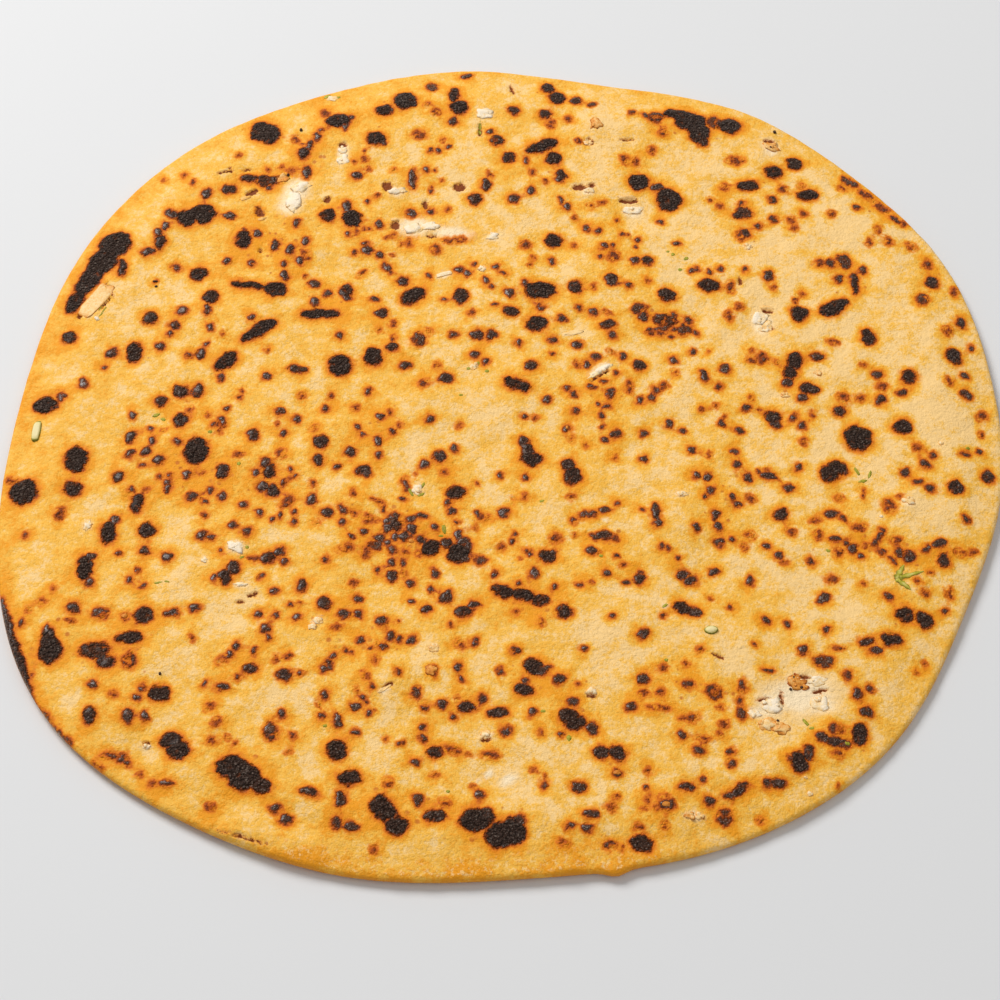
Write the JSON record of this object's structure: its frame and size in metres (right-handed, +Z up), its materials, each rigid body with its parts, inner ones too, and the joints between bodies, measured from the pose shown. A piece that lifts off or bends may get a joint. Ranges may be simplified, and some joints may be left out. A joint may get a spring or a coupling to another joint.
{
  "type": "gobi paratha",
  "caption": "Round griddled flatbread with a grated cauliflower filling, scorched blisters and flecks of coriander leaf.",
  "frame": {"origin": "on the surface that the bread lies on, under the middle of its outline", "axes": "+Z up out of the face that was pictured, +X along its longest way across"},
  "size_m": [0.2504, 0.2468, 0.0054],
  "materials": {
    "griddled_dough": "matte, faintly oiled",
    "cauliflower": "matte, moist",
    "coriander": "satin"
  },
  "bodies": {
    "root": {"paratha": "griddled_dough"}
  },
  "joints": []
}
